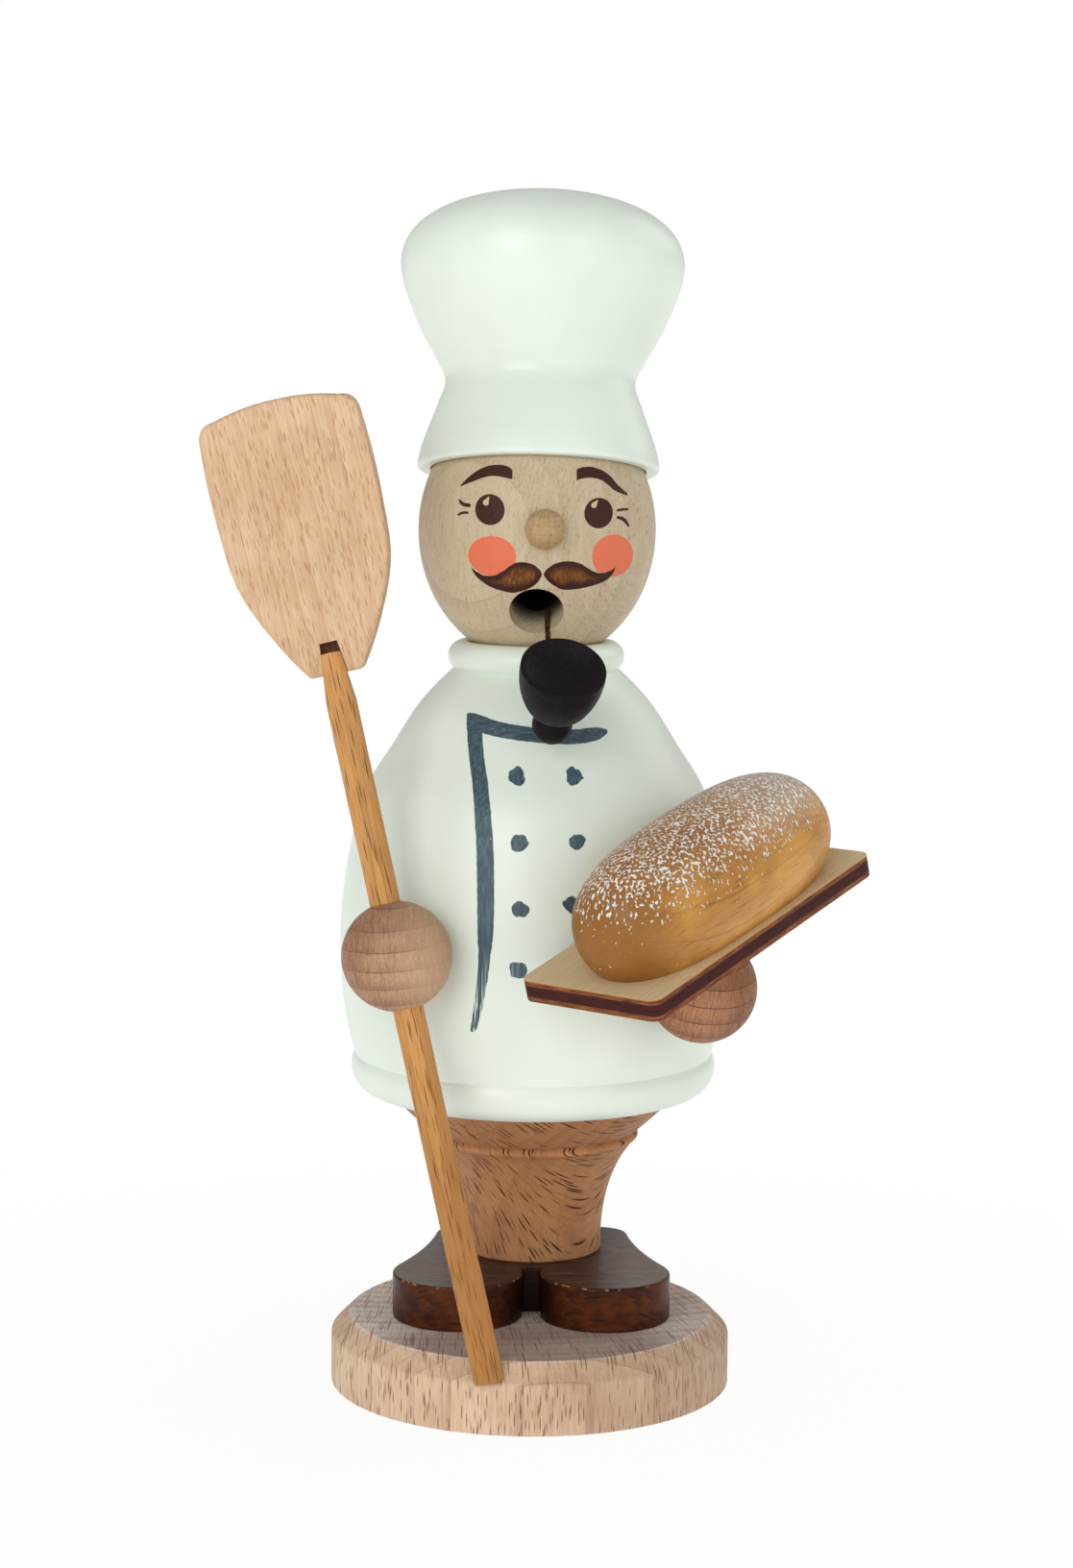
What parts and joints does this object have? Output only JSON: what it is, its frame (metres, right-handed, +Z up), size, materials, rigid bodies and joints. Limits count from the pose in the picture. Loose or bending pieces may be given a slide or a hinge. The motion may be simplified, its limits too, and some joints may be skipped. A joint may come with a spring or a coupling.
{
  "type": "german incense smoker",
  "caption": "Turned wooden incense smoker: a baker in a white jacket and tall hat with pipe, long peel and a loaf on a board, on a round base; the upper figure lifts off the dish.",
  "frame": {"origin": "centre of the round base's underside", "axes": "+Z up, the figure looks along -Y, +X is the side of the hand that carries the bread"},
  "size_m": [0.1107, 0.0956, 0.2008],
  "materials": {
    "beech": "bare beech, lightly waxed",
    "limewood": "bare pale wood, painted face",
    "white_paint": "satin white paint over turned wood",
    "brown_stain": "dark brown stain, satin",
    "honey_wood": "honey-coloured dowel, waxed",
    "pale_beech": "bare pale beech board",
    "plywood": "thin plywood with burnt edges",
    "glazed_crust": "tan glaze with white flour specks",
    "black_stain": "very dark stain, satin lacquer",
    "brass": "plain pressed sheet"
  },
  "bodies": {
    "stand": {"base_disc": "beech", "shoe_plate": "brown_stain", "leg_dowel": "beech", "legs": "beech", "incense_dish": "brass", "dish_pin": "brass"},
    "figure": {"jacket": "white_paint", "head": "limewood", "nose": "limewood", "hat": "white_paint", "hat_dowel": "beech", "right_hand": "beech", "right_hand_peg": "beech", "left_hand": "beech", "left_hand_peg": "beech", "board_peg": "beech", "bread_board": "plywood", "bread_loaf": "glazed_crust", "peel_handle": "honey_wood", "peel_blade": "pale_beech", "pipe_bowl": "black_stain", "pipe_stem": "black_stain"}
  },
  "joints": [
    {"name": "figure_lift", "type": "slide", "parent": "stand", "child": "figure", "axis": [0, 0, 1], "range_m": [0, 0.06]}
  ]
}
